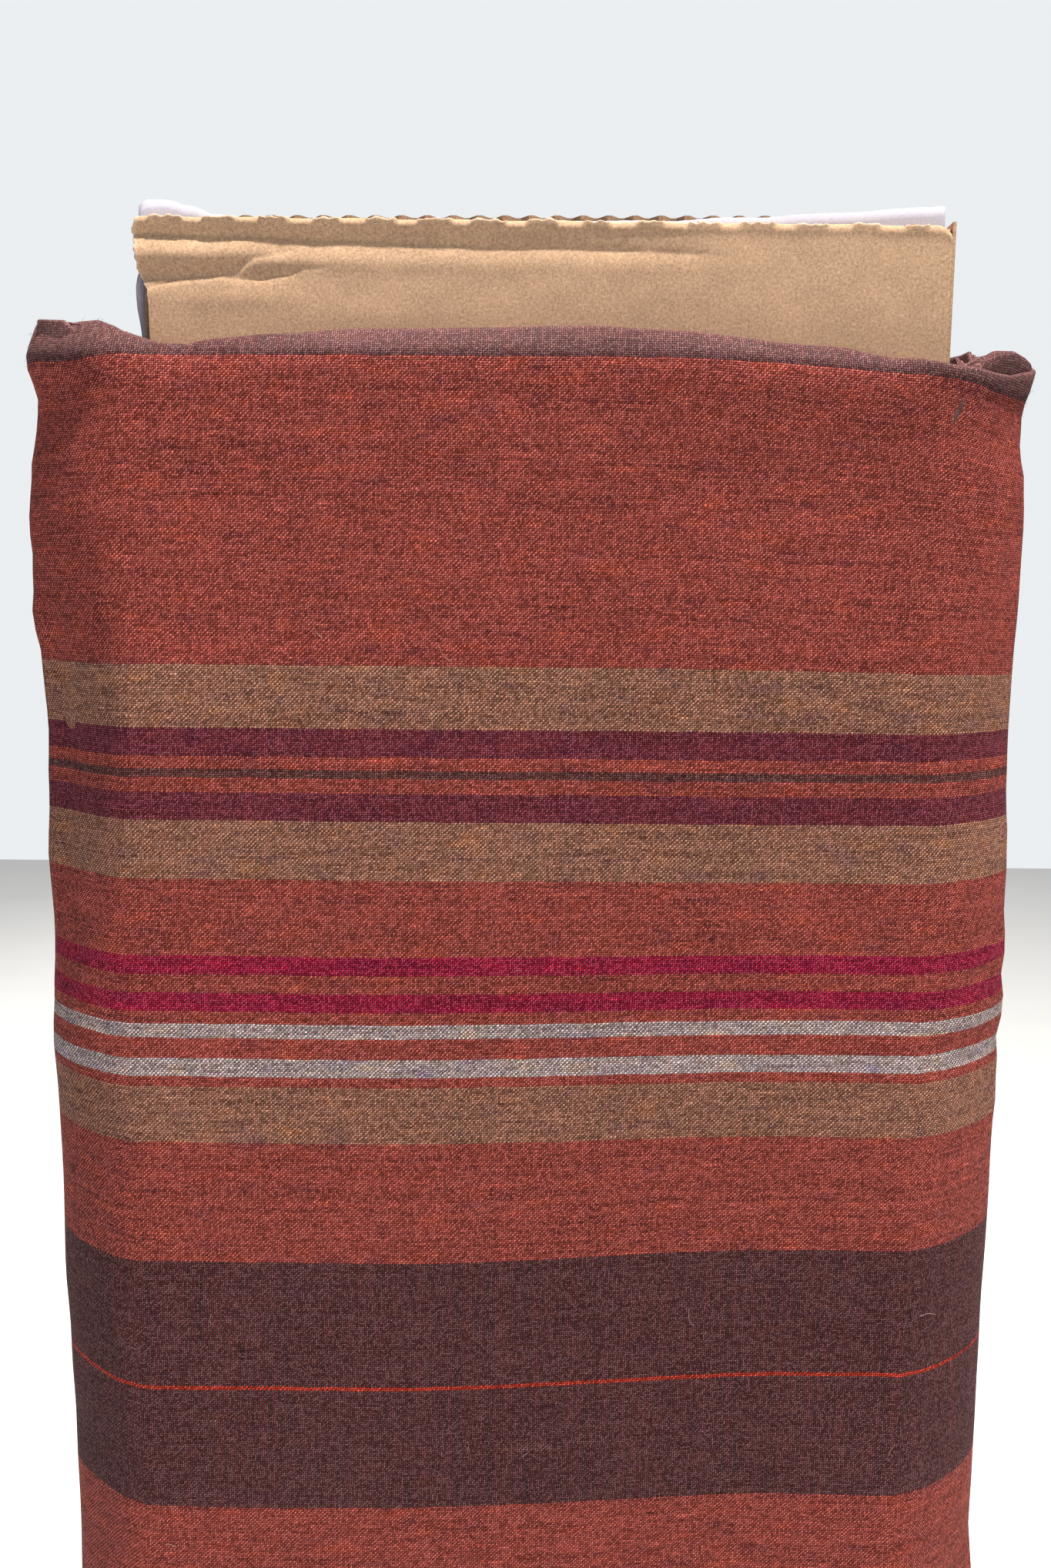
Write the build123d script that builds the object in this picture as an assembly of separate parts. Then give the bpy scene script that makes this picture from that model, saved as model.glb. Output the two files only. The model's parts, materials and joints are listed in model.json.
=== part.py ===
from build123d import *
import os

# A fabric bolt standing on its end: a doubled length of cloth wound round a flat board of folded
# corrugated cardboard. Millimetres, +Z up, X across the bolt, the front face towards -Y.

# Cloth: folded height, build-up of the winding and the loose end
cloth_height = 720.0
doubled_cloth = 0.95
face_buildup = 19.0
side_buildup = 24.7
winding_corner = 21.0
slot_clearance = 0.3
loose_end_length = 170.0
loose_end_clearance = 0.3
hinge_inset = 27.0         # from the side of the winding to the line the loose end turns on

# Board: overall sizes and the corrugated sheet it is folded from
board_width = 200.0
bare_end = 29.0            # stands out above the cloth
board_shift = 3.2          # the cloth has built up more on the left of the board than on the right
liner_thickness = 0.35
flute_height = 2.4
flute_pitch = 6.5
medium_thickness = 0.3
crest_share = 0.2          # flat crest of a flute, as a share of its pitch

# Board: folds, perforations and tucked-in pieces
fold_thickness = 0.8
perforation_pitch = 13.0
perforation_length = 7.0
perforation_width = 0.8
perforation_inset = 1.1
tuck_depth = 120.0
tuck_side_gap = 1.0
stiffener_gap = 2.0
free_edge_setback = 2.5    # the front panel's glued edge stops short of the back panel's edge
back_rise_left = 2.0       # the back panel is cut a little taller than the front, and crooked
back_rise_right = 3.4

# Stack of the board, from front to back: front panel, middle layer, back panel
board_height = cloth_height + bare_end
panel_thickness = flute_height + 2 * liner_thickness
board_thickness = 3 * panel_thickness
slot_width = board_width + 2 * slot_clearance
slot_depth = board_thickness + 2 * slot_clearance
winding_width = slot_width + 2 * side_buildup
winding_depth = slot_depth + 2 * face_buildup
bolt_depth = winding_depth + loose_end_clearance + doubled_cloth

# Places: the bolt's bounding box is centred on the origin, so the board sits a little forward
winding_front = -bolt_depth / 2
winding_back = winding_front + winding_depth
board_front = winding_front + face_buildup + slot_clearance
board_centre_y = board_front + board_thickness / 2
board_left = board_shift - board_width / 2
board_right = board_shift + board_width / 2
panel_right = board_right - fold_thickness
front_left = board_left + free_edge_setback
front_bottom = fold_thickness
front_top = board_height - fold_thickness


def plate(x0, x1, y0, thickness, z0, z1):
    """A flat paper sheet between two heights."""
    size = (x1 - x0, thickness, z1 - z0)
    return Pos(x0, y0, z0) * Box(*size, align=(Align.MIN, Align.MIN, Align.MIN))


def fluting(x0, x1, y0, z0, z1):
    """The fluted medium: a wave of flat crests and slopes that fills the space between two liners."""
    flutes = round((x1 - x0) / flute_pitch)
    pitch = (x1 - x0) / flutes
    crest = crest_share * pitch
    low = []
    for flute in range(flutes):
        start = x0 + flute * pitch
        low.append((start, y0))
        low.append((start + crest, y0))
        low.append((start + pitch / 2, y0 + flute_height - medium_thickness))
        low.append((start + pitch / 2 + crest, y0 + flute_height - medium_thickness))
    low.append((x1, y0))
    high = [(x, y + medium_thickness) for x, y in reversed(low)]
    outline = Polyline(*low, *high, close=True)
    return Pos(0, 0, z0) * extrude(make_face(outline), amount=z1 - z0)


def corrugated_panel(panel, liners, x0, x1, y0, z0, z1):
    """Three nodes of one corrugated panel: the liner in front, the fluted medium, the liner behind."""
    front_liner, back_liner = liners
    back_liner_y = y0 + liner_thickness + flute_height
    return {
        f"{panel}_{front_liner}_liner": plate(x0, x1, y0, liner_thickness, z0, z1),
        f"{panel}_flutes": fluting(x0, x1, y0 + liner_thickness, z0, z1),
        f"{panel}_{back_liner}_liner": plate(x0, x1, back_liner_y, liner_thickness, z0, z1),
    }


def crooked_top(panel):
    """Cut a panel's top edge along the slant from back_rise_left to back_rise_right."""
    low_left = (board_left, board_height + back_rise_left)
    low_right = (board_right, board_height + back_rise_right)
    above = board_height + 2 * back_rise_right
    outline = Polyline(low_left, low_right, (board_right, above), (board_left, above), close=True)
    face = Plane.XZ * make_face(outline)
    waste = extrude(face, amount=board_thickness, both=True)
    return {name: solid - Pos(0, board_centre_y, 0) * waste for name, solid in panel.items()}


def perforations(length):
    """Slots of a cut-and-uncut crease, centred on a line of this length along X."""
    count = int((length - perforation_length) / perforation_pitch)
    cutter = Box(perforation_length, perforation_width, 2 * fold_thickness)
    return GridLocations(perforation_pitch, 0, count, 1) * cutter


def end_fold(z0):
    """The crease across the top or bottom edge, which covers the front panel and the tuck behind it."""
    width = panel_right - front_left
    strip = plate(front_left, panel_right, board_front, 2 * panel_thickness, z0, z0 + fold_thickness)
    middle = (front_left + panel_right) / 2
    line = Pos(middle, board_front + perforation_inset, z0 + fold_thickness / 2)
    return strip - [line * slot for slot in perforations(width)]


def side_fold():
    """The crease down the right-hand edge, perforated where it turns into each panel."""
    strip = plate(panel_right, board_right, board_front, board_thickness, 0, board_height)
    board_back = board_front + board_thickness
    slots = []
    for y in (board_front + perforation_inset, board_back - perforation_inset):
        line = Pos(panel_right + fold_thickness / 2, y, board_height / 2) * Rot(0, 90, 0)
        slots += [line * slot for slot in perforations(board_height)]
    return strip - slots


def make_board():
    """Every paper of the folded board."""
    middle_y = board_front + panel_thickness
    back_y = board_front + 2 * panel_thickness
    tuck_left = front_left + tuck_side_gap
    tuck_right = panel_right - tuck_side_gap
    tall = board_height + back_rise_right
    top_tuck_z = front_top - tuck_depth
    bottom_tuck_z = front_bottom + tuck_depth
    front = (front_left, panel_right, board_front)
    inner = (tuck_left, tuck_right, middle_y)
    back = (board_left, panel_right, back_y)
    plies = ("front", "back")
    stiffener_ends = (bottom_tuck_z + stiffener_gap, top_tuck_z - stiffener_gap)
    pieces = {}
    pieces.update(corrugated_panel("front_panel", ("outer", "inner"), *front, front_bottom, front_top))
    pieces.update(crooked_top(corrugated_panel("back_panel", ("inner", "outer"), *back, 0, tall)))
    pieces.update(corrugated_panel("top_tuck", plies, *inner, top_tuck_z, front_top))
    pieces.update(corrugated_panel("bottom_tuck", plies, *inner, front_bottom, bottom_tuck_z))
    pieces.update(corrugated_panel("stiffener", plies, *inner, *stiffener_ends))
    pieces["top_fold"] = end_fold(front_top)
    pieces["bottom_fold"] = end_fold(0)
    pieces["side_fold"] = side_fold()
    return pieces


def winding_outline(inset):
    """Rounded outline of the winding, moved inwards by this much."""
    outline = RectangleRounded(winding_width - 2 * inset, winding_depth - 2 * inset, winding_corner - inset)
    return Pos(0, winding_front + winding_depth / 2) * outline


def make_cloth():
    """The wound turns with the board's slot, the outer turn around them and the loose end on the back."""
    slot = Pos(board_shift, board_centre_y) * Rectangle(slot_width, slot_depth)
    hinge_x = winding_width / 2 - hinge_inset
    loose_end_y = winding_back + loose_end_clearance
    loose_end_x = hinge_x - loose_end_length
    return {
        "cloth_wound_turns": extrude(winding_outline(doubled_cloth) - slot, amount=cloth_height),
        "cloth_outer_turn": extrude(winding_outline(0) - winding_outline(doubled_cloth), amount=cloth_height),
        "cloth_loose_end": plate(loose_end_x, hinge_x, loose_end_y, doubled_cloth, 0, cloth_height),
    }


def main():
    """Write one STEP file for each node."""
    os.makedirs("parts", exist_ok=True)
    for name, solid in {**make_board(), **make_cloth()}.items():
        export_step(solid, f"parts/{name}.step")
    hinge_y = winding_back + loose_end_clearance + doubled_cloth / 2
    print(f"bolt {winding_width:.2f} x {bolt_depth:.2f} x {board_height + back_rise_right:.2f} mm")
    print(f"loose end turns about x {winding_width / 2 - hinge_inset:.3f}, y {hinge_y:.3f}")
    print(f"front face at y {winding_front:.3f}")


main()
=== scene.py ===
import json
import math

import bpy
import numpy as np
from bpy.props import FloatProperty, FloatVectorProperty, IntProperty, PointerProperty
from mathutils import Euler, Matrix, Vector

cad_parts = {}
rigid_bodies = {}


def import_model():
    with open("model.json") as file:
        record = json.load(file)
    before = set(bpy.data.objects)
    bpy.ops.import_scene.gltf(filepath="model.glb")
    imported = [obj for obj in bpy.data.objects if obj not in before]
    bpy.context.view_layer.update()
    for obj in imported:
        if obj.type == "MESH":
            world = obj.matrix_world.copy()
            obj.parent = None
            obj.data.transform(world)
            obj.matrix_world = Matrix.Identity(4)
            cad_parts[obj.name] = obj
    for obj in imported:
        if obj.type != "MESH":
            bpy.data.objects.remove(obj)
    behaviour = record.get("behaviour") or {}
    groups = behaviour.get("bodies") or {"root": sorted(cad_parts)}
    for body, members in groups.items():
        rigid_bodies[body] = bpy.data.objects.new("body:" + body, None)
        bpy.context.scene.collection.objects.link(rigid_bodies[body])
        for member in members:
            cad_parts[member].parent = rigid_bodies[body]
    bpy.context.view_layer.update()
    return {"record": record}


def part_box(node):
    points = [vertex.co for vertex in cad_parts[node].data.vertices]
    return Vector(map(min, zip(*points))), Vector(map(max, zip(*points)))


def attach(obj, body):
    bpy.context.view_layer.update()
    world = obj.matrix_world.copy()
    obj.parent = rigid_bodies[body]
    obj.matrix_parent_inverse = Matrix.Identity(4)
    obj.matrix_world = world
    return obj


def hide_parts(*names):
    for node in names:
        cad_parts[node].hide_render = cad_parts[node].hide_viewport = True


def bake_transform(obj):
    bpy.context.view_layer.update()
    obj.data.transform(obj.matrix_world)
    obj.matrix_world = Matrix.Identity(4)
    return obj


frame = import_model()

bl_info = {
    "name": "Fabric Bolt",
    "version": (1, 0, 0),
    "blender": (4, 5, 0),
    "location": "3D View > Sidebar > Fabric Bolt",
    "description": "Striped cloth, folded double and wound on a flat corrugated board",
    "category": "Add Mesh",
}

MM = 0.001


# ---------------------------------------------------------------- places taken from the frame

def box_of(nodes):
    """Lowest and highest corners of several nodes together."""
    boxes = [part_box(node) for node in nodes]
    low = [min(b[0][i] for b in boxes) for i in range(3)]
    high = [max(b[1][i] for b in boxes) for i in range(3)]
    return low, high


WINDING_LOW, WINDING_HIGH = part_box("cloth_outer_turn")
WOUND_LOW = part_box("cloth_wound_turns")[0]
LOOSE_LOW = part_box("cloth_loose_end")[0]
FRONT_LOW, FRONT_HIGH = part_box("front_panel_outer_liner")
BACK_LOW, BACK_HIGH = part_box("back_panel_inner_liner")
TOP_FOLD_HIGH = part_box("top_fold")[1]
BOARD_LOW, BOARD_HIGH = box_of(["back_panel_outer_liner", "front_panel_outer_liner", "side_fold"])
DOUBLED = WOUND_LOW[0] - WINDING_LOW[0]
CLOTH_TOP = WINDING_HIGH[2]
WINDING_Y = (WINDING_LOW[1] + WINDING_HIGH[1]) / 2
HINGE_X = frame["record"]["behaviour"]["joints"][1]["pos_m"][0]


# ---------------------------------------------------------------- settings a user would change

def length(name, text, default):
    return FloatProperty(name=name, description=text, default=default, unit="LENGTH", precision=5)


def colour(name, text, red, green, blue):
    """A colour given as it looks on a screen, 0 to 255, kept as linear light."""
    linear = [((c / 255 + 0.055) / 1.055) ** 2.4 for c in (red, green, blue)]
    return FloatVectorProperty(name=name, description=text, subtype="COLOR", size=3,
                               min=0, max=1, default=linear)


class ClothSettings(bpy.types.PropertyGroup):
    """Sizes of the cloth and of its winding."""
    turns: IntProperty(name="Turns", description="Turns of doubled cloth on each face", default=20)
    ply: length("Ply", "Thickness of one ply of the cloth", 0.36 * MM)
    thread: length("Thread pitch", "Distance from one thread to the next", 0.52 * MM)
    outer_fold: length("Outer fold", "Radius of the soft fold on the outer turn", 1.1 * MM)
    inner_fold: length("Inner fold", "Radius of the pressed folds of the wound turns", 0.42 * MM)
    fold_depth: length("Fold depth", "How far below a fold its two plies lie flat again", 11 * MM)
    stripe_start: length("Stripe start", "Height from the fold to the first rust stripe", 7.4 * MM)
    fine_step: length("Fine step", "Mesh step on the turn that shows", 3.4 * MM)


class ColourSettings(bpy.types.PropertyGroup):
    """Yarn colours of the stripes, and the papers of the board."""
    rust: colour("Rust", "Yarn of the ground stripes", 167, 77, 67)
    tan: colour("Tan", "Yarn of the broad light stripes", 163, 119, 97)
    plum: colour("Plum", "Yarn of the plum stripes", 110, 42, 62)
    umber: colour("Umber", "Yarn of the narrow dark stripe", 89, 60, 60)
    magenta: colour("Magenta", "Yarn of the pink stripes", 160, 0, 65)
    ecru: colour("Ecru", "Yarn of the pale stripes", 192, 181, 180)
    brown: colour("Brown", "Yarn of the broad dark stripes", 74, 52, 57)
    flame: colour("Flame", "Yarn of the hairline in the dark stripe", 187, 52, 30)
    weft: colour("Weft", "Dark wine yarn that crosses all stripes", 90, 26, 24)
    kraft: colour("Kraft", "Brown face of the board", 186, 152, 122)
    white: colour("White", "White face of the board", 170, 166, 176)


class StageSettings(bpy.types.PropertyGroup):
    """Camera and lights."""
    distance: length("Camera distance", "From the lens to the front face of the cloth", 294 * MM)
    below_fold: length("Eye level", "Eye level below the cloth's fold", 68.5 * MM)
    tilt: FloatProperty(name="Tilt", description="Camera tilt below level", default=math.radians(7.39),
                        subtype="ANGLE")
    roll: FloatProperty(name="Roll", description="Camera roll", default=math.radians(0.5), subtype="ANGLE")
    focal: FloatProperty(name="Focal length", description="For a frame 36 mm high", default=28.28)


# ---------------------------------------------------------------- small mesh and number helpers

def smooth(x):
    """0 below 0, 1 above 1 and an even ramp between."""
    x = np.clip(x, 0, 1)
    return x * x * (3 - 2 * x)


def bump(x, centre, width):
    """A rounded hump of height 1."""
    return np.exp(-((x - centre) / width) ** 2)


def ripple(s, z, wavelength, seed, waves=9):
    """Soft random relief between about -1 and 1, the same on every run."""
    dice = np.random.default_rng(seed)
    total = np.zeros(np.broadcast(s, z).shape)
    for _ in range(waves):
        angle = dice.uniform(0, math.tau)
        number = math.tau / (wavelength * dice.uniform(0.7, 1.6))
        phase = dice.uniform(0, math.tau)
        total = total + np.sin(number * (s * math.cos(angle) + z * math.sin(angle)) + phase)
    return total / math.sqrt(waves)


def through(x, points):
    """A smooth curve through a few (place, value) points."""
    places, values = zip(*points)
    places = np.array(places)
    values = np.array(values)
    x = np.clip(x, places[0], places[-1])
    i = np.clip(np.searchsorted(places, x, side="right") - 1, 0, len(places) - 2)
    step = smooth((x - places[i]) / (places[i + 1] - places[i]))
    return values[i] + (values[i + 1] - values[i]) * step


def grid_faces(columns, rows, around=False):
    """Quads of a grid stored column by column."""
    last = columns if around else columns - 1
    i, j = np.meshgrid(np.arange(last), np.arange(rows - 1), indexing="ij")
    a = i * rows + j
    b = ((i + 1) % columns) * rows + j
    return np.stack([a, b, b + 1, a + 1], axis=-1).reshape(-1, 4)


def mesh_object(name, points, faces, maps=None):
    """A mesh piece from an array of points and quads, with UV maps given point by point."""
    mesh = bpy.data.meshes.new(name)
    mesh.from_pydata(points.reshape(-1, 3).tolist(), [], faces.tolist())
    corners = np.empty(len(mesh.loops), dtype=np.int32)
    mesh.loops.foreach_get("vertex_index", corners)
    for label, uv in (maps or {}).items():
        layer = mesh.uv_layers.new(name=label)
        layer.data.foreach_set("uv", uv.reshape(-1, 2)[corners].astype(np.float32).ravel())
    mesh.shade_smooth()
    mesh.update()
    piece = bpy.data.objects.new(name, mesh)
    bpy.context.scene.collection.objects.link(piece)
    return piece


def thicken(piece, thickness, offset=0.0):
    """Give a sheet its thickness with a live Solidify."""
    modifier = piece.modifiers.new("Thickness", "SOLIDIFY")
    modifier.thickness = thickness
    modifier.offset = offset
    modifier.use_even_offset = False
    return modifier


def plain_mesh(piece):
    """Turn a piece and its modifiers into one plain mesh."""
    graph = bpy.context.evaluated_depsgraph_get()
    mesh = bpy.data.meshes.new_from_object(piece.evaluated_get(graph))
    mesh.name = piece.name
    piece.modifiers.clear()
    piece.data = mesh
    return piece


# ---------------------------------------------------------------- shader node helpers

class Graph:
    """Short words for building a node tree."""

    def __init__(self, tree):
        self.tree = tree

    def add(self, kind, **settings):
        node = self.tree.nodes.new(kind)
        for key, value in settings.items():
            setattr(node, key, value)
        return node

    def feed(self, socket, value):
        if isinstance(value, bpy.types.NodeSocket):
            self.tree.links.new(value, socket)
        elif value is not None:
            socket.default_value = value

    def math(self, operation, a, b=None, c=None, clamp=False):
        node = self.add("ShaderNodeMath", operation=operation, use_clamp=clamp)
        for socket, value in zip(node.inputs, (a, b, c)):
            self.feed(socket, value)
        return node.outputs[0]

    def times(self, a, b):
        return self.math("MULTIPLY", a, b)

    def plus(self, a, b):
        return self.math("ADD", a, b)

    def minus(self, a, b):
        return self.math("SUBTRACT", a, b)

    def grey(self, value):
        return self.vector(value, value, value)

    def mix(self, factor, a, b, blend="MIX"):
        node = self.add("ShaderNodeMix", data_type="RGBA", blend_type=blend)
        self.feed(node.inputs["Factor"], factor)
        self.feed(node.inputs["A"], a)
        self.feed(node.inputs["B"], b)
        return node.outputs["Result"]

    def ramp(self, value, low, high, to_low=0.0, to_high=1.0):
        node = self.add("ShaderNodeMapRange", interpolation_type="SMOOTHSTEP")
        for socket, number in zip(node.inputs, (value, low, high, to_low, to_high)):
            self.feed(socket, number)
        return node.outputs[0]

    def vector(self, x, y, z=0.0):
        node = self.add("ShaderNodeCombineXYZ")
        for socket, value in zip(node.inputs, (x, y, z)):
            self.feed(socket, value)
        return node.outputs[0]

    def split(self, vector):
        node = self.add("ShaderNodeSeparateXYZ")
        self.feed(node.inputs[0], vector)
        return node.outputs

    def noise(self, vector, scale, detail=2.0, roughness=0.5):
        node = self.add("ShaderNodeTexNoise", noise_dimensions="3D")
        self.feed(node.inputs["Vector"], vector)
        node.inputs["Scale"].default_value = scale
        node.inputs["Detail"].default_value = detail
        node.inputs["Roughness"].default_value = roughness
        return node.outputs["Fac"]

    def dice(self, vector):
        """A random number for each whole-number place."""
        node = self.add("ShaderNodeTexWhiteNoise", noise_dimensions="3D")
        self.feed(node.inputs["Vector"], vector)
        return node.outputs["Value"]


def new_material(name, roughness, specular=0.25):
    """A material with a Principled shader whose plain numbers stand on its own sockets."""
    material = bpy.data.materials.new(name)
    material.use_nodes = True
    graph = Graph(material.node_tree)
    shader = material.node_tree.nodes["Principled BSDF"]
    shader.inputs["Roughness"].default_value = roughness
    shader.inputs["Specular IOR Level"].default_value = specular
    return material, graph, shader


def bump_normal(graph, height, strength, distance):
    node = graph.add("ShaderNodeBump")
    node.inputs["Strength"].default_value = strength
    node.inputs["Distance"].default_value = distance
    graph.feed(node.inputs["Height"], height)
    return node.outputs["Normal"]


def group_of(name, inputs, outputs):
    """An empty shader node group with named sockets."""
    tree = bpy.data.node_groups.new(name, "ShaderNodeTree")
    for label, kind, default in inputs:
        socket = tree.interface.new_socket(label, in_out="INPUT", socket_type=kind)
        if default is not None:
            socket.default_value = default
    for label, kind in outputs:
        tree.interface.new_socket(label, in_out="OUTPUT", socket_type=kind)
    graph = Graph(tree)
    return tree, graph, graph.add("NodeGroupInput").outputs, graph.add("NodeGroupOutput").inputs


def place_group(graph, tree, **values):
    node = graph.add("ShaderNodeGroup")
    node.node_tree = tree
    for label, value in values.items():
        graph.feed(node.inputs[label.replace("_", " ")], value)
    return node.outputs


# ---------------------------------------------------------------- cloth: the weave and its stripes

# One repeat of the stripes from the top down: yarn and width in millimetres.
STRIPES = [
    ("rust", 71.0), ("tan", 14.7), ("plum", 6.3), ("rust", 3.3), ("umber", 3.2), ("rust", 3.0),
    ("plum", 6.5), ("tan", 15.0), ("rust", 18.8), ("magenta", 4.3), ("rust", 5.6), ("magenta", 4.1),
    ("rust", 2.9), ("ecru", 3.8), ("rust", 5.7), ("ecru", 4.2), ("rust", 2.1), ("tan", 15.6),
    ("rust", 31.6), ("brown", 33.2), ("flame", 1.6), ("brown", 33.4),
]
REPEAT = sum(width for _, width in STRIPES) * MM


def plain_weave_group():
    """Plain weave from a place on the cloth: which yarn is on top, how high it stands, and its unevenness."""
    tree, g, given, out = group_of(
        "Plain weave",
        [("Along", "NodeSocketFloat", 0.0), ("Across", "NodeSocketFloat", 0.0),
         ("Pitch", "NodeSocketFloat", 0.52 * MM)],
        [("Warp on top", "NodeSocketFloat"), ("Height", "NodeSocketFloat"),
         ("Warp number", "NodeSocketFloat"), ("Warp tone", "NodeSocketFloat"),
         ("Weft tone", "NodeSocketFloat"), ("Slub", "NodeSocketFloat"), ("Crossing", "NodeSocketFloat")])
    along, across, pitch = given["Along"], given["Across"], given["Pitch"]
    place = g.vector(along, across)
    # the threads wander a little, so rows and columns are never quite straight
    wander_u = g.minus(g.noise(place, 150, 3, 0.6), 0.5)
    wander_v = g.minus(g.noise(g.vector(across, along, 7.0), 120, 3, 0.6), 0.5)
    u = g.plus(g.math("DIVIDE", along, pitch), g.times(wander_u, 2.2))
    v = g.plus(g.math("DIVIDE", across, pitch), g.times(wander_v, 1.5))
    weft_number = g.math("FLOOR", u)
    warp_number = g.math("FLOOR", v)
    in_u = g.minus(g.math("FRACT", u), 0.5)
    in_v = g.minus(g.math("FRACT", v), 0.5)

    # uneven spinning: long soft changes and short slubs along each thread
    along_warp = g.vector(g.times(along, 60), g.times(warp_number, 3.71), 1.0)
    along_weft = g.vector(g.times(across, 60), g.times(weft_number, 2.93), 5.0)
    warp_long = g.noise(along_warp, 1.0, 3, 0.6)
    weft_long = g.noise(along_weft, 1.0, 3, 0.6)
    slub_place = g.vector(g.times(along, 190), g.times(warp_number, 5.13), 9.0)
    slub = g.ramp(g.noise(slub_place, 1.0, 1), 0.63, 0.80)

    warp_width = g.plus(0.86, g.times(g.minus(warp_long, 0.5), 0.5))
    warp_width = g.plus(warp_width, g.times(slub, 0.35))
    weft_width = g.plus(0.84, g.times(g.minus(weft_long, 0.5), 0.5))

    def crown(offset, width):
        """Round section of a thread, from its middle line outwards."""
        share = g.math("DIVIDE", g.times(offset, 2.0), width)
        left = g.math("MAXIMUM", g.minus(1.0, g.times(share, share)), 0.0)
        return g.math("SQRT", left)

    def crimp(place_along, number, shift):
        """Wave of a thread over one crossing and under the next."""
        turn = g.plus(g.minus(place_along, 0.5), g.plus(number, shift))
        return g.math("COSINE", g.times(turn, math.pi))

    # each float slants a little, as the spinning twist pulls it
    square = g.times(in_u, in_u)
    slant = g.times(in_u, g.minus(1.0, g.times(square, 4.0)))
    slanted = g.plus(in_v, g.times(slant, 1.15))
    warp_height = g.plus(g.times(crown(slanted, warp_width), 0.62),
                         g.times(crimp(u, warp_number, 0.0), 0.5))
    weft_height = g.plus(g.times(crown(in_u, weft_width), 0.55),
                         g.times(crimp(v, weft_number, 1.0), 0.5))
    on_top = g.ramp(g.minus(warp_height, weft_height), -0.10, 0.10)
    g.feed(out["Warp on top"], on_top)
    g.feed(out["Height"], g.math("MAXIMUM", warp_height, weft_height))
    g.feed(out["Warp number"], warp_number)
    thread_dice = g.dice(g.vector(warp_number, 3.0, 1.0))
    tone = g.plus(g.times(g.minus(warp_long, 0.5), 1.5),
                  g.times(g.minus(thread_dice, 0.5), 0.34))
    g.feed(out["Warp tone"], tone)
    weft_dice = g.dice(g.vector(weft_number, 11.0, 4.0))
    g.feed(out["Weft tone"], g.plus(g.minus(weft_long, 0.5),
                                    g.times(g.minus(weft_dice, 0.5), 0.30)))
    g.feed(out["Slub"], slub)
    g.feed(out["Crossing"], g.minus(g.dice(g.vector(warp_number, weft_number, 2.0)), 0.5))
    return tree


def stripe_colour(g, warp_number, pitch, colours):
    """Yarn colour of a warp thread, counted down from the first rust stripe."""
    place = g.times(g.plus(warp_number, 0.5), pitch / REPEAT)
    share = g.minus(place, g.math("FLOOR", place))
    node = g.add("ShaderNodeValToRGB")
    node.color_ramp.interpolation = "CONSTANT"
    elements = node.color_ramp.elements
    elements.remove(elements[1])
    start = 0.0
    for i, (yarn, width) in enumerate(STRIPES):
        element = elements[0] if i == 0 else elements.new(start)
        element.position = start
        element.color = (*getattr(colours, yarn), 1)
        start += width * MM / REPEAT
    g.feed(node.inputs[0], share)
    return node.outputs["Color"]


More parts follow.
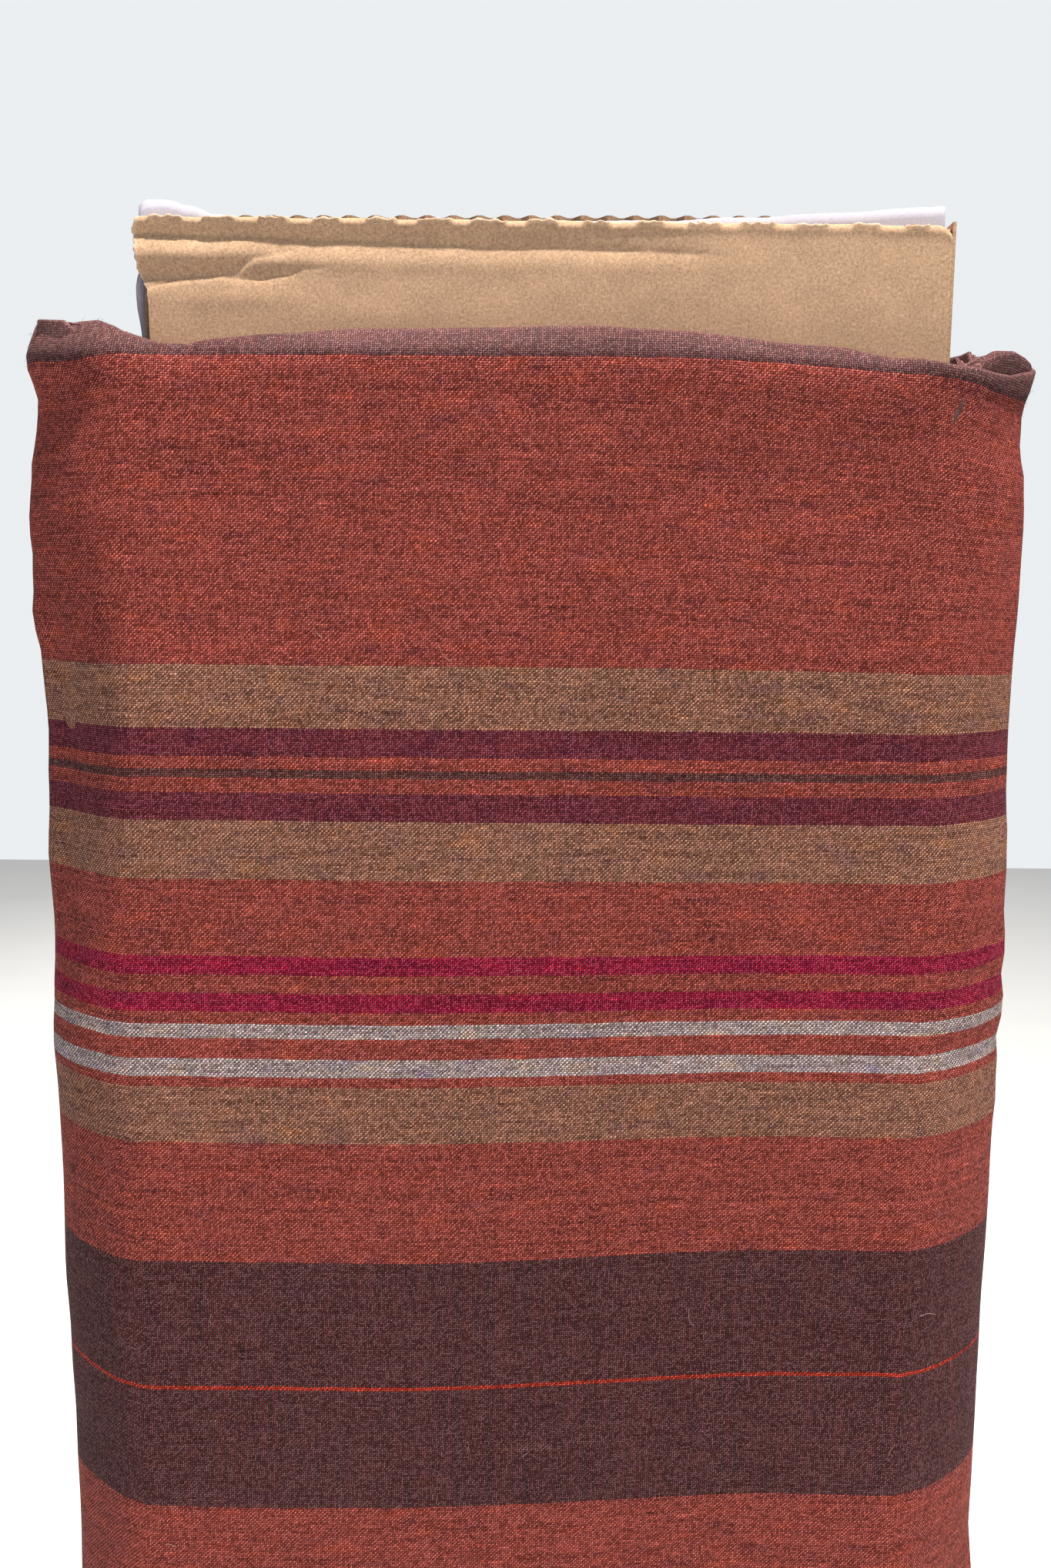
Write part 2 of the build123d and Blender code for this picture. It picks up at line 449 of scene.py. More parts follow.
def cloth_material():
    """Striped linen-look plain weave, from the cloth's own length and width in metres."""
    if "Striped linen weave" in bpy.data.materials:
        return bpy.data.materials["Striped linen weave"]
    cloth = bpy.context.scene.bolt_cloth
    colours = bpy.context.scene.bolt_colours
    material, g, shader = new_material("Striped linen weave", 0.8, 0.05)
    uv = g.split(g.add("ShaderNodeUVMap", uv_map="Cloth").outputs[0])
    edges = g.split(g.add("ShaderNodeUVMap", uv_map="Edges").outputs[0])
    weave = place_group(g, plain_weave_group(), Along=uv[0], Across=uv[1], Pitch=cloth.thread)

    yarn = stripe_colour(g, weave["Warp number"], cloth.thread, colours)
    place = g.vector(uv[0], uv[1])
    # dye lots and spinning: some stretches of yarn are more orange, others greyer or darker
    patch = g.noise(g.vector(g.times(uv[0], 90), g.times(uv[1], 260)), 1.0, 3, 0.6)
    warm = g.mix(g.ramp(patch, 0.52, 0.70), yarn, g.mix(1.0, yarn, (1.28, 1.12, 0.86, 1), "MULTIPLY"))
    cool = g.mix(g.ramp(patch, 0.46, 0.30), warm, g.mix(1.0, yarn, (0.72, 0.74, 0.98, 1), "MULTIPLY"))
    faded = g.minus(g.noise(place, 17, 3, 0.6), 0.5)
    streak = g.noise(g.vector(g.times(uv[0], 44), g.times(uv[1], 520)), 1.0, 3, 0.7)
    streak = g.minus(streak, 0.5)
    light = g.plus(1.0, g.times(weave["Warp tone"], 0.75))
    light = g.plus(light, g.times(streak, 0.7))
    light = g.plus(light, g.times(faded, 0.45))
    light = g.plus(light, g.times(weave["Slub"], 0.8))
    light = g.plus(light, g.times(weave["Crossing"], 0.85))
    light = g.math("MAXIMUM", light, 0.2)
    warp = g.mix(1.0, cool, g.grey(light), "MULTIPLY")

    weft_light = g.plus(1.0, g.times(weave["Weft tone"], 1.7))
    weft_light = g.plus(weft_light, g.times(weave["Crossing"], 0.5))
    weft = g.mix(1.0, (*colours.weft, 1), g.grey(weft_light), "MULTIPLY")
    weft = g.mix(0.16, weft, warp)
    surface = g.mix(weave["Warp on top"], weft, warp)
    # painted shade: the colour is darkened where the threads dip low, in the gaps between them
    depth = g.ramp(weave["Height"], 0.18, 0.88, 0.16, 1.0)
    surface = g.mix(1.0, surface, g.grey(depth), "MULTIPLY")
    # painted highlight: the tops of the threads are mixed towards a pale pinkish colour, more at some
    # crossings than at others
    uneven = g.ramp(weave["Crossing"], -0.3, 0.6, 0.06, 0.5)
    painted_crest_highlight = g.times(g.ramp(weave["Height"], 0.84, 1.06), uneven)
    fibre = g.mix(0.42, g.mix(1.0, yarn, (2.2, 2.2, 2.2, 1), "MULTIPLY"), (0.86, 0.62, 0.55, 1))
    surface = g.mix(painted_crest_highlight, surface, fibre)

    # the fold's crest is paler: partly faded, fuzzy yarn and partly a painted highlight where the top of the
    # fold faces the light
    crest_of_fold = g.times(g.ramp(uv[1], 0.4 * MM, -3.5 * MM), g.ramp(uv[1], -20 * MM, -13 * MM))
    fuzz_and_highlight = g.times(crest_of_fold, g.plus(0.55, g.times(faded, 1.1)))
    fuzzed_and_highlit_yarn = g.mix(0.22, g.mix(1.0, surface, (2.1, 2.0, 1.9, 1), "MULTIPLY"), (0.36, 0.25, 0.235, 1))
    surface = g.mix(fuzz_and_highlight, surface, fuzzed_and_highlit_yarn)

    # close-set selvedge along both edges of the cloth, with a line of pin holes
    selvedge = g.ramp(edges[1], 7.0 * MM, 6.4 * MM)
    surface = g.mix(g.times(selvedge, 0.35), surface, (*colours.weft, 1))
    pin_x = g.minus(g.math("FRACT", g.math("DIVIDE", uv[0], 14 * MM)), 0.5)
    pin_x = g.times(pin_x, 14 * MM)
    pin_z = g.minus(edges[1], 4 * MM)
    reach = g.math("SQRT", g.plus(g.times(pin_x, pin_x), g.times(pin_z, pin_z)))
    hole = g.ramp(reach, 0.7 * MM, 0.35 * MM)
    # painted shade: the pin holes are painted near black, for the shade inside each hole
    surface = g.mix(g.times(hole, 0.7), surface, (0.01, 0.006, 0.006, 1))
    g.feed(shader.inputs["Base Color"], surface)

    hair = g.noise(place, 5200, 2, 0.6)
    height = g.plus(weave["Height"], g.times(hair, 0.35))
    height = g.minus(height, g.times(hole, 1.0))
    g.feed(shader.inputs["Normal"], bump_normal(g, height, 1.0, 0.2 * MM))
    g.feed(shader.inputs["Roughness"], g.ramp(weave["Height"], 0.45, 1.05, 0.95, 0.55))
    return material


# ---------------------------------------------------------------- cloth: the way it is wound

FRONT_SHARE = 0.4       # share of a turn on each flat face
SIDE_SHARE = 0.1        # share of a turn round each side
LAST_FRONT = FRONT_SHARE / 2      # middle of the front face, as a share of its turn


def turn_sizes(turn):
    """Reach to the left, to the right and to the faces, and the side radius, at a place on the spiral."""
    cloth = bpy.context.scene.bolt_cloth
    done = (turn - LAST_FRONT) / (cloth.turns - 1)
    half = DOUBLED / 2
    slot = 0.45 * MM
    face_in = (BOARD_HIGH[1] - BOARD_LOW[1]) / 2 + slot + half
    face_out = (WINDING_HIGH[1] - WINDING_LOW[1]) / 2 - half
    left_in = -(BOARD_LOW[0] - slot) + half
    right_in = BOARD_HIGH[0] + slot + half
    left = left_in + (-WINDING_LOW[0] - half - left_in) * done
    right = right_in + (WINDING_HIGH[0] - half - right_in) * done
    face = face_in + (face_out - face_in) * done
    return left, right, face, face * (0.93 + 0.22 * done)


def side_curve(angle, turn):
    """A side of a turn: reach outwards and towards the face, as shares.

    The first turns are square round the edge of the board, the last are drawn out to a soft point.
    """
    out = np.abs(np.sin(angle))
    face = 0.45 * np.cos(angle) + np.sign(np.cos(angle)) * 0.55 * (1 - out ** 1.25)
    square_out = out ** 0.2
    square_face = np.sign(np.cos(angle)) * np.abs(np.cos(angle)) ** 0.2
    square = np.exp(-((turn / 5) ** 2))
    return out + (square_out - out) * square, face + (square_face - face) * square


def outline(turn):
    """Centre line of the doubled cloth: x and y for each place on the spiral, counted in turns."""
    left, right, face, radius = turn_sizes(turn)
    share = turn - np.floor(turn)
    flat_left = -(left - radius)
    flat_right = right - radius
    run = flat_right - flat_left
    front = share / FRONT_SHARE
    back = (share - FRONT_SHARE - SIDE_SHARE) / FRONT_SHARE
    out_right, face_right = side_curve(
        np.clip((share - FRONT_SHARE) / SIDE_SHARE, 0, 1) * math.pi, turn)
    out_left, face_left = side_curve(
        np.clip((share - 2 * FRONT_SHARE - SIDE_SHARE) / SIDE_SHARE, 0, 1) * math.pi, turn)
    on_front = share < FRONT_SHARE
    on_right = (share >= FRONT_SHARE) & (share < FRONT_SHARE + SIDE_SHARE)
    on_back = (share >= FRONT_SHARE + SIDE_SHARE) & (share < 2 * FRONT_SHARE + SIDE_SHARE)
    x = np.select([on_front, on_right, on_back],
                  [flat_left + run * front, flat_right + radius * out_right, flat_right - run * back],
                  flat_left - radius * out_left)
    y = np.select([on_front, on_right, on_back], [-face, -face * face_right, face], face * face_left)
    return x, WINDING_Y + y


def turn_at_back(x, last_turn):
    """The place on the spiral where it crosses this x on the back face of that turn."""
    left, right, _, radius = turn_sizes(last_turn + FRONT_SHARE + SIDE_SHARE)
    run = right + left - 2 * radius
    return last_turn + FRONT_SHARE + SIDE_SHARE + FRONT_SHARE * (right - radius - x) / run


class Path:
    """A stretch of the winding, in columns a given distance apart on the flats and closer on the sides."""

    def __init__(self, start, end, flat_step, side_step):
        turns = [start]
        place = start
        while place < end:
            share = place - math.floor(place)
            on_side = FRONT_SHARE <= share < 0.5 or share >= 0.9
            left, right, face, radius = turn_sizes(place)
            arc = math.pi * (radius + face) / 2
            size = arc / SIDE_SHARE if on_side else (left + right - 2 * radius) / FRONT_SHARE
            step = (side_step if on_side else flat_step) / size
            corner = min(c for c in (FRONT_SHARE, 0.5, 0.9, 1.0) if c > share + 1e-9) + math.floor(place)
            count = max(1, round((min(corner, end) - place) / step))
            turns += list(np.linspace(place, min(corner, end), count + 1)[1:])
            place = min(corner, end)
        self.turn = np.array(turns)
        self.x, self.y = outline(self.turn)
        small = 1e-4
        ahead = np.array(outline(self.turn + small))
        behind = np.array(outline(self.turn - small))
        along = ahead - behind
        along /= np.linalg.norm(along, axis=0)
        self.nx, self.ny = along[1], -along[0]
        self.distance = distance_at(self.turn)
        self.share = self.turn - np.floor(self.turn)


def distance_at(turn):
    """Length of cloth from the inner end of the spiral to each place on it."""
    if "table" not in distance_at.__dict__:
        fine = np.linspace(-0.05, bpy.context.scene.bolt_cloth.turns + 1.0, 42000)
        x, y = outline(fine)
        run = np.concatenate([[0], np.cumsum(np.hypot(np.diff(x), np.diff(y)))])
        distance_at.table = fine, run
    fine, run = distance_at.table
    return np.interp(turn, fine, run)


def last_turn():
    return bpy.context.scene.bolt_cloth.turns - 1


def hinge_turn():
    """Where the loose end starts to lift."""
    return turn_at_back(HINGE_X, last_turn())


def end_turn():
    """The cut end of the cloth."""
    return turn_at_back(LOOSE_LOW[0], last_turn())


SHOWING_START = 0.12     # the turn that shows starts this far along the front, under the last turn
OUTER_ROWS = (118, 11, 18)     # its rows: outer ply, fold and inner ply
LOOSE_ROWS = (150, 9, 60)      # the same for the loose end
OUTER_SIDE_STEP = 1.4 * MM     # mesh step round the sides of the turn that shows


def outer_path():
    """The stretch of the winding that the turn that shows takes up."""
    fine_step = bpy.context.scene.bolt_cloth.fine_step
    return Path(last_turn() - 1 + SHOWING_START, hinge_turn(), fine_step, OUTER_SIDE_STEP)


def fold_height(path):
    """How far each place of the centre fold stands above or below the cloth's nominal height."""
    x = path.x / MM
    behind = (path.y - WINDING_LOW[1]) / MM
    drift = 0.9 * ripple(path.distance, 0.0, 0.31, 5) + 0.5 * ripple(path.distance, 0.0, 0.07, 6)
    front = through(x, [
        (-125, 4.8), (-120, 4.0), (-117, 2.6), (-112, 1.3), (-107, 2.0), (-103, 1.4), (-99, 0.2), (-94, -2.0),
        (-88, -3.9), (-81, -4.3), (-74, -2.9), (-60, -1.7), (-38, -0.4), (4, 0.2), (14, 0.1), (32, -0.7),
        (70, -3.9), (88, -7.0), (99, -8.6), (112, -8.9), (120, -7.0), (125, -4.6)])
    back = through(x, [
        (-125, 4.8), (-112, 2.0), (-60, -1.0), (30, 0.4), (96, -0.8), (115, -2.4), (125, -4.6)])
    on_front = path.y < WINDING_Y
    shown = np.where(on_front, front, back)
    under_front = through(x, [
        (-125, 1.8), (-112, 0.2), (-99, -1.2), (-88, -5.0), (-81, -5.2), (-60, -3.0), (4, -1.2), (32, -2.0),
        (70, -5.6), (86, -9.0), (97, -10.4), (103, -7.4), (109, -4.2), (115, -3.2), (121, -3.8), (125, -4.6)])
    tucked = np.clip(14 - 14 * (np.clip(behind - 0.3, 0, 9) / 6.0) ** 0.6, 0, 14)
    under_front = under_front + (0.14 * behind - tucked) * smooth((104 - x) / 7)
    under = np.where(on_front, under_front + 0.35 * drift, -1.6 + drift)
    weight = smooth((path.turn - (last_turn() - 0.25)) / 0.12)
    return (under + (shown - under) * weight) * MM


def stripe_sag(x, z):
    """How far the stripes hang below level: down at the right-hand top, and up again lower down."""
    depth = (CLOTH_TOP - z) / MM
    amount = through(depth, [(0, 6.0), (12, 5.9), (40, 3.2), (80, 1.2), (100, -0.1), (125, -0.2), (147, -1.5),
                             (165, -2.2), (195, -3.0), (225, -4.6), (260, -5.2), (300, -5.4), (720, -5.0)])
    high = np.clip((x / MM - 10) / 100, 0, 1) ** 2
    low = smooth((x / MM + 35) / 100)
    left = (1.0 * smooth((-x / MM - 92) / 15) - 2.6 * smooth((-x / MM - 109) / 13)) * np.exp(-depth / 30)
    return (amount * (high + (low - high) * smooth((depth - 100) / 60)) + left) * MM


def waist(path, z):
    """Where the whole winding draws in or swells along its two sides."""
    depth = (CLOTH_TOP - z) / MM
    left = through(depth, [
        (0, 0.5), (6, 0.0), (10, 1.4), (15, 2.5), (22, 1.8), (30, 0.3), (45, -0.7), (55, 0.0),
        (64, 1.2), (78, 3.4), (95, 3.9), (110, 3.2), (130, 2.4), (152, 1.4), (165, 0.8), (180, -0.1),
        (210, 0.4), (240, 0.9), (262, 1.4),
        (430, 1.6), (720, 0.4)])
    right = through(depth, [
        (0, 1.2), (10, 2.1), (16, 2.9), (23, 2.8), (34, 0.8), (42, 0.1), (60, 0.6), (80, 1.2), (95, 1.4),
        (110, 0.9),
        (122, 0.2), (134, -0.4), (150, -0.6), (158, -1.4), (166, -1.2), (173, 0.0), (184, -0.9), (200, -0.2),
        (260, -0.4), (480, 0.3), (720, 0.0)])
    out = (np.abs(path.x) / WINDING_HIGH[0])[:, None]
    # the turns next to the board keep its width
    done = np.clip((path.turn - 1) / (last_turn() - 1), 0, 1)[:, None]
    amount = np.where(path.x[:, None] < 0, left, right)
    return -amount * MM * done * smooth((out - 0.72) / 0.22)


def fold_lean(path, z):
    """The soft shoulder of the turn that shows leans in over the turns under it."""
    top = (CLOTH_TOP + fold_height(path))[:, None]
    x = path.x[:, None] / MM
    front = (path.y < WINDING_Y)[:, None]
    reach = np.where(front, through(x, [(-125, 4.4), (-104, 5.2), (-60, 5.8), (-6, 5.4), (18, 3.6), (44, 5.2),
                                        (78, 5.2), (94, 1.2), (103, 0.0), (125, 0.0)]), 3.4)
    share = np.clip((z - top + 10 * MM) / (10 * MM), 0, 1)
    hollow = np.where(front, 0.8 * bump(top - z, 5.5 * MM, 2.2 * MM) * bump(x, 18, 20), 0)
    slack = smooth((path.turn - (last_turn() - 0.25)) / 0.12)[:, None]
    return -(reach * share ** 1.7 + hollow) * MM * slack


def relief(path, z):
    """Soft dents, pleats and slack of the turn that shows, outwards from the winding."""
    s = path.share[:, None] * 0.48
    x = path.x[:, None]
    front = (path.y < WINDING_Y)[:, None]
    right = (path.x > 0)[:, None]
    depth = CLOTH_TOP - z
    slack = 0.45 * MM + 0.28 * MM * ripple(s, z, 0.085, 21) + 0.10 * MM * ripple(s, z, 0.028, 22)
    # long shallow dents that run down the front
    for place, width, amount, start, reach in (
            (-0.058, 5.5 * MM, -0.42 * MM, 0.075, 0.06), (-0.049, 6.0 * MM, 0.30 * MM, 0.085, 0.07),
            (0.071, 8.0 * MM, -0.30 * MM, 0.11, 0.09), (0.012, 12.0 * MM, 0.25 * MM, 0.20, 0.10)):
        slack += np.where(front, amount * bump(x, place, width) * bump(depth, start, reach), 0)
    # creases that fan in from the right-hand side
    for level, lean, width, amount in (
            (0.158, 0.35, 2.6 * MM, -0.95 * MM), (0.150, 0.30, 3.2 * MM, 0.75 * MM),
            (0.171, 0.22, 3.0 * MM, 0.6 * MM), (0.185, -0.20, 3.4 * MM, -0.5 * MM)):
        line = depth - level + lean * (0.125 - x)
        slack += np.where(front & right, amount * bump(line, 0, width) * smooth((x - 0.084) / 0.034), 0)
    # slack that stands out behind the left-hand side, and low down behind the right
    past_left = smooth((-x - 0.100) / 0.01) * smooth((depth - 0.052) / 0.02) * smooth((0.150 - depth) / 0.026)
    past_right = smooth((x - 0.100) / 0.01) * smooth((depth - 0.312) / 0.02)
    y = path.y[:, None]
    slack += np.where(right, 0, past_left) * (2.3 * MM * bump(y, -3.5 * MM, 4.2 * MM)
                                                       - 0.35 * MM * bump(y, -11 * MM, 2.5 * MM))
    slack += np.where(right, past_right, 0) * (2.0 * MM * bump(y, -3.0 * MM, 4.5 * MM)
                                                        - 0.35 * MM * bump(y, -10.5 * MM, 2.5 * MM))
    # the top stands out on the right-hand half and shades the cloth below it
    overhang = 2.3 * MM * smooth((x - 0.002) / 0.045) * (1 - smooth(depth / 0.046))
    overhang = overhang * smooth((0.135 - x) / 0.03)
    slack += np.where(front, overhang, 0)
    # pinched corner beside the fold on the right
    slack += np.where(front & right, -1.2 * MM * bump(depth, 0.013, 4.0 * MM) * bump(x, 0.113, 0.009), 0)
    return slack


# Rows of the hidden turns, as shares of the height below the fold, close where the winding draws in.
HIDDEN_ROWS = (1.0, 0.60, 0.365, 0.25, 0.205, 0.160, 0.132, 0.112, 0.085, 0.055, 0.028, 0.012, 0.0)

HIDDEN_FOLD_ROWS = 5     # rows of the fold on a hidden turn
HIDDEN_WAIST = 1.12      # hidden turns draw in this much further, to stay under the one that shows


def doubled_cloth(name, path, flat_rows, fold_rows, inner_rows, fold_radius, shows):
    """A stretch of the doubled cloth: outer ply from the selvedge up, over the fold, inner ply down again."""
    cloth = bpy.context.scene.bolt_cloth
    count = len(path.turn)
    top = (CLOTH_TOP + fold_height(path))[:, None]
    foot_out = 1.4 * MM * (1 + np.sin(path.distance * 9.0))[:, None] * 0.5
    foot_in = 1.6 * MM * (1 + np.sin(path.distance * 7.3 + 1.0))[:, None] * 0.5
    if shows:
        foot_out = foot_out * 0
    radius = np.full((count, 1), fold_radius)
    spring = top - radius
    up = np.linspace(0, 1, flat_rows)[None, :]
    if shows:
        up = 1 - (1 - up) ** 1.25
    else:
        up = 1 - np.array(HIDDEN_ROWS)[None, :]
    z_out = foot_out + (spring - foot_out) * up
    down = np.linspace(1, 0, inner_rows)[None, :]
    if shows:
        down = 1 - (1 - down) ** 2.2
    else:
        down = 1 - np.array(HIDDEN_ROWS)[None, ::-1]
    z_in = foot_in + (spring - foot_in) * down
    angle = np.linspace(0, math.pi, fold_rows + 2)[None, 1:-1]
    apart = DOUBLED / 4
    opening_out = apart + (radius - apart) * (1 - smooth((spring - z_out) / cloth.fold_depth))
    inner_radius = np.minimum(radius, DOUBLED / 2)
    opening_in = apart + (inner_radius - apart) * (1 - smooth((spring - z_in) / cloth.fold_depth))
    width = (radius + inner_radius) / 2
    middle = (radius - inner_radius) / 2
    z = np.hstack([z_out, spring + radius * np.sin(angle), z_in])
    off = np.hstack([opening_out, middle + width * np.cos(angle), -opening_in])
    if shows:
        slack_out = relief(path, z_out)
        fold_slack = slack_out[:, -1:] * (1 + np.cos(angle)) / 2
        off = off + np.hstack([slack_out, fold_slack, np.zeros_like(z_in)]) + fold_lean(path, z)
    off = off + waist(path, z) * (1.0 if shows else HIDDEN_WAIST)
    lift = loose_lift(path)[:, None]
    points = np.stack([
        path.x[:, None] + path.nx[:, None] * (off + lift),
        path.y[:, None] + path.ny[:, None] * (off + lift),
        z + 0 * off], axis=-1)

    steps = np.hypot(np.diff(off, axis=1), np.diff(z, axis=1))
    run_down = np.hstack([np.zeros((count, 1)), np.cumsum(steps, axis=1)])
    at_fold = run_down[:, flat_rows - 1:flat_rows]
    level = CLOTH_TOP - cloth.stripe_start
    across = (level - spring) + (at_fold - run_down)
    across_out = level - z_out
    across[:, :flat_rows] = across_out
    if shows:
        sag = stripe_sag(path.x[:, None], z)
        across = across - sag
    else:
        across = across + 1.2 * MM * ripple(path.distance, 0.0, 0.4, 9)[:, None]
    across = across + (top - CLOTH_TOP) * (1 - smooth((path.turn - (last_turn() - 0.25)) / 0.12))[:, None]
    across[:, flat_rows:] = across[:, flat_rows - 1:flat_rows] - (run_down[:, flat_rows:] - at_fold)
    along = np.repeat(path.distance[:, None], z.shape[1], axis=1)
    edge_u = distance_at(np.array([end_turn()]))[0] - along
    total = run_down[:, -1:]
    edge_v = np.minimum(run_down, total - run_down)
    maps = {"Cloth": np.stack([along, across], axis=-1), "Edges": np.stack([edge_u, edge_v], axis=-1)}
    piece = mesh_object(name, points, grid_faces(count, z.shape[1]), maps)
    thicken(piece, cloth.ply)
    piece.data.materials.append(cloth_material())
    return piece, float(total.mean()), float(path.distance[-1] - path.distance[0])


def loose_lift(path):
    """The loose end lies a little off the turn under it."""
    past = path.turn - hinge_turn()
    reach = end_turn() - hinge_turn()
    rise = 0.45 * MM * smooth((past + 0.04) / 0.08)
    tip = 1.6 * MM * smooth(past / reach) ** 3
    return rise + tip


class BOLT_OT_wound_turns(bpy.types.Operator):
    """The inner turns of doubled cloth that lie on the board"""
    bl_idname = "bolt.wound_turns"
    bl_label = "Wound turns"

    def execute(self, context):
        cloth = context.scene.bolt_cloth
        path = Path(0.0, last_turn() - 1 + SHOWING_START, 8 * MM, 4.2 * MM)
        rows = len(HIDDEN_ROWS)
        piece, width, run = doubled_cloth(
            "wound_turns", path, rows, HIDDEN_FOLD_ROWS, rows, cloth.inner_fold, False)
        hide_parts("cloth_wound_turns")
        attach(piece, "winding")
        return {"FINISHED"}


class BOLT_OT_outer_turn(bpy.types.Operator):
    """The turn that shows, with its stripes, soft fold, dents and pleats"""
    bl_idname = "bolt.outer_turn"
    bl_label = "Outer turn"

    def execute(self, context):
        cloth = context.scene.bolt_cloth
        path = outer_path()
        piece, width, run = doubled_cloth("outer_turn", path, *OUTER_ROWS, cloth.outer_fold, True)
        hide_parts("cloth_outer_turn")
        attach(piece, "winding")
        return {"FINISHED"}


class BOLT_OT_loose_end(bpy.types.Operator):
    """The last stretch of cloth, which lies on the back and lifts away"""
    bl_idname = "bolt.loose_end"
    bl_label = "Loose end"

    def execute(self, context):
        cloth = context.scene.bolt_cloth
        path = Path(hinge_turn(), end_turn(), cloth.fine_step, 2.2 * MM)
        piece, width, run = doubled_cloth("loose_end", path, *LOOSE_ROWS, cloth.outer_fold, True)
        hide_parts("cloth_loose_end")
        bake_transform(piece)
        return {"FINISHED"}


# ---------------------------------------------------------------- cloth: loose fibres and the raw edge

def loose_fibres_tree():
    """Short curled fibres scattered over a surface, each rooted in it."""
    tree = bpy.data.node_groups.new("Loose fibres", "GeometryNodeTree")
    for label, kind in (
            ("Surface", "NodeSocketGeometry"), ("Density", "NodeSocketFloat"), ("Seed", "NodeSocketInt"),
            ("Length", "NodeSocketFloat"), ("Thickness", "NodeSocketFloat"), ("Rise", "NodeSocketFloat"),
            ("Spin", "NodeSocketFloat"), ("Material", "NodeSocketMaterial")):
        tree.interface.new_socket(label, in_out="INPUT", socket_type=kind)
    tree.interface.new_socket("Fibres", in_out="OUTPUT", socket_type="NodeSocketGeometry")
    g = Graph(tree)
    given = g.add("NodeGroupInput").outputs
    out = g.add("NodeGroupOutput").inputs
    points = g.add("GeometryNodeDistributePointsOnFaces", distribute_method="RANDOM")
    g.feed(points.inputs["Mesh"], given["Surface"])
    g.feed(points.inputs["Density"], given["Density"])
    g.feed(points.inputs["Seed"], given["Seed"])

    size, rise = given["Length"], g.times(given["Length"], given["Rise"])
    curl = g.add("GeometryNodeCurveQuadraticBezier")
    curl.inputs["Resolution"].default_value = 4
    g.feed(curl.inputs["Start"], (0.0, 0.0, 0.0))
    g.feed(curl.inputs["Middle"],
           g.vector(g.times(size, 0.35), g.times(size, 0.28), rise))
    g.feed(curl.inputs["End"], g.vector(g.times(size, 0.9), g.times(size, -0.12),
                                        g.times(rise, 1.15)))
    section = g.add("GeometryNodeCurvePrimitiveCircle")
    section.inputs["Resolution"].default_value = 3
    g.feed(section.inputs["Radius"], g.times(given["Thickness"], 0.5))
    fibre = g.add("GeometryNodeCurveToMesh")
    g.feed(fibre.inputs["Curve"], curl.outputs["Curve"])
    g.feed(fibre.inputs["Profile Curve"], section.outputs["Curve"])
    fibre.inputs["Fill Caps"].default_value = True

    turn = g.add("FunctionNodeRandomValue", data_type="FLOAT")
    g.feed(turn.inputs[2], g.times(given["Spin"], -1.0))
    g.feed(turn.inputs[3], given["Spin"])
    g.feed(turn.inputs["Seed"], given["Seed"])
    turned = g.add("FunctionNodeEulerToRotation")
    g.feed(turned.inputs[0], g.vector(0.0, 0.0, turn.outputs[1]))
    aim = g.add("FunctionNodeRotateRotation", rotation_space="LOCAL")
    g.feed(aim.inputs["Rotation"], points.outputs["Rotation"])
    g.feed(aim.inputs["Rotate By"], turned.outputs[0])
    sizes = g.add("FunctionNodeRandomValue", data_type="FLOAT")
    sizes.inputs[2].default_value = 0.45
    sizes.inputs[3].default_value = 1.25
    g.feed(sizes.inputs["Seed"], g.plus(given["Seed"], 1.0))

    placed = g.add("GeometryNodeInstanceOnPoints")
    g.feed(placed.inputs["Points"], points.outputs["Points"])
    g.feed(placed.inputs["Instance"], fibre.outputs["Mesh"])
    g.feed(placed.inputs["Rotation"], aim.outputs["Rotation"])
    g.feed(placed.inputs["Scale"], g.grey(sizes.outputs[1]))
    real = g.add("GeometryNodeRealizeInstances")
    g.feed(real.inputs["Geometry"], placed.outputs["Instances"])
    dyed = g.add("GeometryNodeSetMaterial")
    g.feed(dyed.inputs["Geometry"], real.outputs["Geometry"])
    g.feed(dyed.inputs["Material"], given["Material"])
    g.feed(out["Fibres"], dyed.outputs["Geometry"])
    return tree


def fibre_material(name, first, second):
    """Fine fibres whose colour changes from one to the next."""
    material, g, shader = new_material(name, 0.85, 0.1)
    place = g.add("ShaderNodeTexCoord").outputs["Object"]
    mixed = g.mix(g.ramp(g.noise(place, 260, 3), 0.35, 0.65), (*first, 1), (*second, 1))
    lightness = g.ramp(g.noise(place, 1400, 2), 0.3, 0.7, 0.75, 1.15)
    g.feed(shader.inputs["Base Color"], g.mix(1.0, mixed, g.grey(lightness), "MULTIPLY"))
    g.feed(shader.inputs["Roughness"], g.ramp(g.noise(place, 700, 2), 0.3, 0.7, 0.75, 0.95))
    return material


def scatter_fibres(name, points, density, seed, size, thickness, rise, spin, material):
    """Fibres over a grid of points, turned into one plain mesh."""
    piece = mesh_object(name, points, grid_faces(points.shape[0], points.shape[1]))
    tree = bpy.data.node_groups.get("Loose fibres") or loose_fibres_tree()
    modifier = piece.modifiers.new("Fibres", "NODES")
    modifier.node_group = tree
    values = {"Density": density, "Seed": seed, "Length": size, "Thickness": thickness, "Rise": rise,
              "Spin": spin, "Material": material}
    for item in tree.interface.items_tree:
        if item.in_out == "INPUT" and item.name in values:
            modifier[item.identifier] = values[item.name]
    piece = plain_mesh(piece)
    if len(piece.data.polygons) == 0:
        raise RuntimeError(name + " came out empty")
    return piece



# Density per square metre, seed, length, thickness, rise and spin of each kind of fibre.
FUZZ = (300000.0, 3, 1.15 * MM, 0.045 * MM, 0.62, math.pi)
LINT = (240.0, 8, 5.0 * MM, 0.075 * MM, 0.10, math.pi)
FRINGE = (1.9 * MM, 0.14 * MM, 0.06, 0.4)      # the last four of them
FRINGE_SEED = 12
FRINGE_ENDS = 620.0                            # frayed ends on each ply
FUZZ_ROWS = 5                                  # rows of the outer ply that carry fuzz below the fold
EDGE_ROWS = 60


